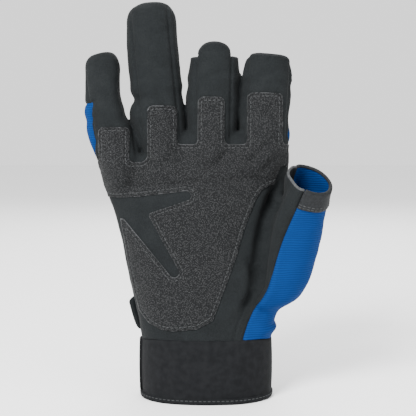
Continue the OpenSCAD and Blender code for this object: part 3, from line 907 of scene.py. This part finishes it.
def grip_material():
    t = Tree("grip_patch")
    grains = t.math("ADD", t.cells(1.4), t.math("MULTIPLY", t.noise(2.8, 3), 0.8))
    t.colour(t.spread(grains, 0.5, 0.92, 0, 1), (0.035, 0.036, 0.037), (0.0048, 0.0053, 0.0058))
    t.bump(t.math("SUBTRACT", 1.0, grains), 0.6, 1.0)
    return t.finish(0.75, 0.01, 0.12)


def knit_material():
    t = Tree("stretch_back")
    parts = t.add("ShaderNodeSeparateXYZ", {0: t.rest.outputs["Vector"]})
    wander = t.math("MULTIPLY", t.noise(0.1, 1), 1.4)
    phase = t.math("MULTIPLY", t.math("ADD", parts.outputs[2], wander), 2 * math.pi / 1.25)
    ribs = t.spread(t.math("SINE", phase), -1, 1, 0, 1)
    loops = t.math("MULTIPLY", t.noise(2.4, 2), 0.55)
    height = t.math("ADD", ribs, loops)
    t.colour(t.spread(height, 0.1, 1.3, 0, 1), (0.0001, 0.0125, 0.064), (0.0001, 0.0245, 0.110))
    t.bump(height, 0.2, 0.45)
    return t.finish(0.8, 0.0, 0.06)


def cuff_material():
    t = Tree("cuff_fabric")
    t.colour(t.spread(t.noise(0.3, 4), 0.35, 0.65, 0, 1), (0.0038, 0.0042, 0.0048), (0.0064, 0.0069, 0.0077))
    t.bump(t.math("ADD", t.noise(3.5, 2), t.math("MULTIPLY", t.noise(0.3, 2), 0.8)), 0.3, 0.35)
    return t.finish(0.82, 0.012, 0.08)


def loop_material(name, dark, light, per_mm):
    t = Tree(name)
    t.colour(t.spread(t.noise(per_mm, 3, 0.7), 0.35, 0.65, 0, 1), dark, light)
    t.bump(t.cells(per_mm), 0.5, 0.8)
    return t.finish(0.9, 0.03, 0.15)


def plain_material(name, dark, light, rough):
    t = Tree(name)
    t.colour(t.spread(t.noise(0.9, 3), 0.35, 0.65, 0, 1), dark, light)
    t.bump(t.noise(3.0, 2), 0.2, 0.4)
    return t.finish(rough, 0.01, 0.1)


SUEDE, GRIP, KNIT, CUFF = suede_material(), grip_material(), knit_material(), cuff_material()
THREAD = plain_material("thread", (0.024, 0.025, 0.026), (0.04, 0.042, 0.043), 0.6)
# Edges painted lighter than the cloth beside them: a painted highlight on the grip patches' cut edges and on
# the thumb mouth's front rim.
EDGE_HIGHLIGHT = plain_material("cut_edge", (0.03, 0.031, 0.032), (0.05, 0.052, 0.054), 0.7)
HEM = plain_material("hem_band", (0.0075, 0.0082, 0.009), (0.013, 0.014, 0.015), 0.7)
LINING = plain_material("lining", (0.007, 0.0075, 0.008), (0.012, 0.013, 0.014), 0.85)
LOOP = loop_material("loop_pile", (0.008, 0.0085, 0.009), (0.02, 0.021, 0.022), 1.4)
HOOK = loop_material("hook_tape", (0.006, 0.0065, 0.007), (0.016, 0.017, 0.018), 1.1)


# ---------------------------------------------------------------- making pieces


def piece(name, p, f, materials, body, replaces=(), second=None):
    """A finished object. body is the CAD body it is attached to, or (body, body, start, end) for a piece across
    a bend, whose parts are not used: such a piece is left unattached, its transform baked in.
    """
    mesh = bpy.data.meshes.new(name)
    mesh.from_pydata((p * MM).tolist(), [], f.tolist())
    for m in materials:
        mesh.materials.append(m)
    if second is not None:
        mesh.polygons.foreach_set("material_index", second.astype(np.int32))
    mesh.polygons.foreach_set("use_smooth", np.ones(len(f), bool))
    rest = mesh.attributes.new("rest", "FLOAT_VECTOR", "POINT")
    rest.data.foreach_set("vector", np.asarray(p, np.float32).ravel())
    mesh.update()
    obj = bpy.data.objects.new(name, mesh)
    bpy.context.scene.collection.objects.link(obj)
    if isinstance(body, str):
        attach(obj, body)
    else:
        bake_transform(obj)
    if replaces:
        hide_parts(*replaces)
    return obj


def root_bend(f):
    return ("hand", f.name + "_base", f.axis.along(f.bend[0]), f.axis.along(f.bend[1]))


def middle_bend(f):
    return (f.name + "_base", f.name + "_tip", f.axis.along(f.bend[2]), f.axis.along(f.bend[3]))


THUMB_TURN = ("hand", "thumb_tip", THUMB_BEND.along(THUMB_START), THUMB_BEND.along(THUMB_END))


def cloth(name, mask, material, body, replaces=(), at_mouth=None):
    p, f, n = taken(mask)
    if at_mouth is None:
        return piece(name, p, f, [material], body, replaces)
    count = len(f)
    p, f = lined(p, f, n, CLOTH, at_mouth)
    inside = np.arange(len(f)) >= count
    inner = LINING if material is SUEDE else material
    return piece(name, p, f, [material, inner], body, replaces, inside)


cloth("hand_palm", hand & black, SUEDE, "hand",
      ["palm_panel", "thumb_palm_panel", "web_little_ring", "web_ring_middle", "web_middle_index"])
cloth("hand_back", hand & blue, KNIT, "hand", ["back_panel", "thumb_back_panel"])
mouths = {"middle": opening_value(2, MIDDLE_TAB), "index": opening_value(3, INDEX_TAB)}
for f in FINGERS:
    own = [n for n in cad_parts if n.startswith(f.name)]
    for part, body in (("base", root_bend(f)), ("tip", middle_bend(f))):
        mask = labels[f"{f.name}_{part}"]
        nodes = [n for n in own if ("prox" if part == "base" else "dist") in n]
        mouth = mouths.get(f.name)
        edge = None if mouth is None else at_edge(mouth)
        dark = [n for n in nodes if not n.endswith("back")]
        cloth(f"{f.name}_{part}_front", mask & black, SUEDE, body, dark, edge)
        cloth(f"{f.name}_{part}_back", mask & blue, KNIT, body,
              [n for n in nodes if n.endswith("back")], edge)
thumb_edge = at_edge(thumb_mouth_value)
cloth("thumb_front", thumb & black, SUEDE, THUMB_TURN, ["thumb_tip_front"], thumb_edge)
cloth("thumb_back", thumb & blue, KNIT, THUMB_TURN, ["thumb_tip_back"], thumb_edge)

# Grip patches, each with a cut edge whose lip and wall are painted lighter as a highlight, and a row of
# stitches.
patch = labels["patch"]
patch_d = patch_distance(skin.points)
for name, mask, body, node in [("palm_grip", hand & patch, "hand", "palm_patch")] + [
    (f"{f.name}_grip", labels[f"{f.name}_base"] & patch, root_bend(f), f"{f.name}_patch") for f in FINGERS
]:
    used, f = np.unique(skin.faces[mask], return_inverse=True)
    f = f.reshape(-1, 3)
    p, n = skin.points[used], normals[used]
    edge = -patch_d[used]
    rise = 0.95 * (0.6 + 0.4 * ease(edge, 0, 0.8)) - 0.45 * np.exp(-(((edge - 1.9) / 0.6) ** 2))
    borders = border_edges(f)
    borders = borders[(edge[borders] < 0.25).all(1)]
    a, b = borders.T
    count = len(p)
    walls = np.concatenate([np.stack([b, a, a + count], 1), np.stack([b, a + count, b + count], 1)])
    top = p + n * rise[:, None]
    both = np.concatenate([top, p - n * 0.3])
    second = np.arange(len(f) + len(walls)) >= len(f)
    # The faces along the patch edge take the lighter colour: a painted highlight.
    highlight_lip = (edge[f] < 0.45).all(1)
    second[: len(f)] = highlight_lip
    piece(name, both, np.concatenate([f, walls]), [GRIP, EDGE_HIGHLIGHT], body, [node], second)
    rows = isoline(top, f, n, edge - 1.9)
    stitches = [s for line in rows for s in resampled(line, 2.4)]
    if stitches:
        p, f = capsules(stitches, 1.9, 0.25, 0.08)
        piece(name + "_stitches", p, f, [THREAD], body)


# ---------------------------------------------------------------- rims and hems


def rim_line(mask, at_mouth):
    """The mouth's edge as evenly spaced (place, normal), closed where it meets itself."""
    used, f = np.unique(skin.faces[mask], return_inverse=True)
    f = f.reshape(-1, 3)
    p, n = skin.points[used], normals[used]
    edges = border_edges(f)
    edges = edges[at_mouth(p[edges].mean(1))]
    out = []
    for line in chains(edges):
        row = resampled([(p[i], n[i]) for i in line], 0.9)
        if row:
            out.append((row, line[0] == line[-1]))
    return out


def rim(name, mask, at_mouth, radius, material, slot, body, replaces=()):
    parts = []
    for row, closed in rim_line(mask, at_mouth):
        parts.append(tube_along([(q - n * CLOTH * 0.5, n) for q, n, _ in row], radius, 10, closed))
    if parts:
        p, f = joined(parts)
        piece(name, p, f, [material], body, replaces)


for f in (MIDDLE, INDEX):
    edge = at_edge(mouths[f.name])
    both = labels[f.name + "_tip"]
    rim(f"{f.name}_tab_edge", both & black, edge, 0.78, HEM, "black_suede", middle_bend(f))
    rim(f"{f.name}_rim_back", both & blue, edge, 1.05, HEM, "black_suede", middle_bend(f), [f.name + "_rim"])
# The front rim of the thumb's mouth is painted lighter: a painted highlight.
rim("thumb_rim_front", thumb & black, thumb_edge, 0.75, EDGE_HIGHLIGHT, "black_suede", THUMB_TURN)
rim("thumb_rim_back", thumb & blue, thumb_edge, 0.95, HEM, "cuff_fabric", THUMB_TURN)

p, f, n = taken(labels["hem"] & thumb & blue)
top, f, walls = layer(p, f, n, 0.75, 1.2)
piece("thumb_hem_band", top, np.concatenate([f, walls]), [HEM], THUMB_TURN, ["thumb_hem"])
height = thumb_height(p)
for row, at in enumerate((10.3, 11.6)):
    stitches = [s for line in isoline(p + n * 0.7, f, n, height - at) for s in resampled(line, 2.4)]
    if stitches:
        q, g = capsules(stitches, 1.8, 0.22, 0.05)
        piece(f"thumb_hem_stitches_{row}", q, g, [THREAD], THUMB_TURN)


# ---------------------------------------------------------------- cuff and closure


def outline(angle, grow, middle, half_width, half_depth, power=2.3):
    a = math.radians(angle)
    c, s = math.cos(a), math.sin(a)
    x = (half_width + grow) * math.copysign(abs(c) ** (2 / power), c)
    y = (half_depth + grow) * math.copysign(abs(s) ** (2 / power), s)
    return np.array([middle + x, MID_Y + y, 0])


def band(path, angles, section, wave=0.0, seed=0.0):
    """A strip swept round a path. section(angle) gives (grow, height) points of its cross-section."""
    rings = []
    for a in angles:
        base = [outline(a, g, *path) + [0, 0, z] for g, z in section(a)]
        base = np.array(base)
        if wave:
            centre = base.mean(0)
            way = outline(a, 1, *path) - outline(a, 0, *path)
            base += way * wave * noise.noise(Vector(centre * 0.07 + seed))
        rings.append(base)
    return tube_mesh(rings)


def rounded_section(inner, outer, z0, z1, r, belly=0.0, steps=3):
    """Cross-section of a strip with rounded edges and a swelling outer face."""
    out = []
    r = min(r, (outer - inner) / 2 - 0.01, (z1 - z0) / 2 - 0.01)
    corners = (
        (outer - r, z1 - r, 0),
        (inner + r, z1 - r, 90),
        (inner + r, z0 + r, 180),
        (outer - r, z0 + r, 270),
    )
    for cx, cz, a0 in corners:
        for k in range(steps + 1):
            a = math.radians(a0 + 90 * k / steps)
            out.append((cx + r * math.cos(a), cz + r * math.sin(a)))
    for k in range(1, 8):
        t = k / 8
        out.append((outer + belly * math.sin(math.pi * t), z0 + r + (z1 - z0 - 2 * r) * t))
    return out


FOOT = (-0.9, 36.4, 24.0)
SLIT = (114, 127)
around = np.linspace(SLIT[1], SLIT[0] + 360, 150)


def cuff_section(a):
    top = 33.4 + 1.9 * ease(np.array([-math.sin(math.radians(a))]), 0.2, 0.9)[0]
    return rounded_section(-2.1, 0.4, 2.6, top, 0.9, 0.4)


p, f = band(FOOT, around, cuff_section, 0.5, 4.2)
piece("cuff_band_cloth", p, f, [CUFF], "hand", ["cuff_band"])
p, f = band(FOOT, around, lambda a: rounded_section(-2.4, 1.0, 0, 3.5, 1.0, 0.2), 0.5, 4.2)
piece("cuff_binding_tape", p, f, [CUFF], "hand", ["cuff_binding"])


def stitch_row(path, angles, grow, z, pitch, wave=0.5, seed=4.2):
    line = []
    for a in angles:
        q = outline(a, grow, *path) + [0, 0, z]
        way = outline(a, 1, *path) - outline(a, 0, *path)
        centre = outline(a, -0.2, *path) + [0, 0, 17 if z > 5 else 1.75]
        line.append((q + way * wave * noise.noise(Vector(centre * 0.07 + seed)), way / np.linalg.norm(way)))
    return resampled(line, pitch)


p, f = capsules(stitch_row(FOOT, around, 1.15, 2.4, 2.5), 1.7, 0.24, 0.0)
piece("binding_stitches", p, f, [THREAD], "hand")

strip = np.linspace(176, 190, 16)
p, f = band(FOOT, strip, lambda a: rounded_section(0.1, 1.7, 3.4, 32.6, 0.7, 0.3), 0.5, 4.2)
piece("cuff_edge_cloth", p, f, [CUFF], "hand", ["cuff_edge_strip"])

TAB = (-1.6, 39.9, 26.9)
TAB_Z, TAB_HALF = 44.5, 10.25


def tab_section(a):
    """Towards its free end the tab narrows to its top corner, which curls away from the hand."""
    last = max(0.0, (a - 154) / 13.2)
    low = TAB_Z - TAB_HALF + 15.5 * last**2
    high = TAB_Z + TAB_HALF - 2.2 * last**4
    curl = 2.4 * last**2
    return rounded_section(curl, curl + 2.3, low, high, 0.9, 0.2)


p, f = band(TAB, np.linspace(50.4, 167, 96),
            tab_section)
piece("closure_tab_cloth", p, f, [SUEDE], "closure", ["closure_tab"])
rows = []
for z in (TAB_Z - TAB_HALF + 2, TAB_Z + TAB_HALF - 2):
    rows += stitch_row(TAB, np.linspace(54, 157, 90), 2.5, z, 2.6, wave=0.0)
p, f = capsules(rows, 1.9, 0.24, 0.0)
piece("closure_tab_stitches", p, f, [THREAD], "closure")
HOOK_HALF = 7.5
p, f = band(TAB, np.linspace(112, 150, 30),
            lambda a: rounded_section(-1.05, 0.1, TAB_Z - HOOK_HALF, TAB_Z + HOOK_HALF, 0.4))
piece("hook_tape_cloth", p, f, [HOOK], "closure", ["hook_tape"])
p, f = band(TAB, np.linspace(30, 50, 20),
            lambda a: rounded_section(-1.5, 2.3, TAB_Z - TAB_HALF, TAB_Z + TAB_HALF, 0.9, 0.25))
piece("tab_root_cloth", p, f, [SUEDE], "hand", ["tab_root"])


PAD = (-1.3, 38, 22.2)


def pad_section(a):
    """The pile pad leans with the hand: narrower at its foot, deeper at its back."""
    turn = math.radians(a)
    lean = 0.15 * math.cos(turn) ** 2 - 0.1 * math.sin(turn) ** 2
    return [(g + lean * (z - TAB_Z), z) for g, z in rounded_section(0.2, 1.9, 35.8, 53.4, 0.6)]


p, f = band(PAD, np.linspace(66, 158, 60), pad_section)
piece("loop_pad_cloth", p, f, [LOOP], "hand", ["loop_pad"])


# ---------------------------------------------------------------- stage


def flat_material(name, colour):
    m = bpy.data.materials.new(name)
    m.use_nodes = True
    m.node_tree.nodes["Principled BSDF"].inputs["Base Color"].default_value = (*colour, 1)
    m.node_tree.nodes["Principled BSDF"].inputs["Roughness"].default_value = 0.9
    return m


bpy.ops.mesh.primitive_plane_add(size=8, location=(0, 0, 0))
floor = bpy.context.object
floor.name = "floor"
floor.data.materials.append(flat_material("pale", (0.93, 0.93, 0.93)))

world = bpy.data.worlds.new("studio")
bpy.context.scene.world = world
world.use_nodes = True
world.node_tree.nodes["Background"].inputs["Color"].default_value = (1, 1, 1, 1)
world.node_tree.nodes["Background"].inputs["Strength"].default_value = 1.45


def softbox(name, place, size, power):
    light = bpy.data.lights.new(name, "AREA")
    light.size = size
    light.energy = power
    obj = bpy.data.objects.new(name, light)
    obj.location = place
    obj.rotation_euler = (Vector((0, 0, 0.11)) - Vector(place)).to_track_quat("-Z", "Y").to_euler()
    bpy.context.scene.collection.objects.link(obj)


softbox("key", (-0.55, -0.9, 0.85), 0.45, 44)
softbox("fill", (0.8, -0.6, 0.5), 0.8, 6)
softbox("back", (0.1, 0.9, 0.9), 0.8, 12)

camera = bpy.data.cameras.new("camera")
camera.lens = 80.3
camera.sensor_width = 36
view = bpy.data.objects.new("camera", camera)
tilt = math.radians(4.5)
aim = Vector((0, MID_Y * MM, 0.1058))
view.location = aim + 0.52 * Vector((0, -math.cos(tilt), math.sin(tilt)))
view.rotation_euler = (aim - view.location).to_track_quat("-Z", "Y").to_euler()
bpy.context.scene.collection.objects.link(view)
bpy.context.scene.camera = view
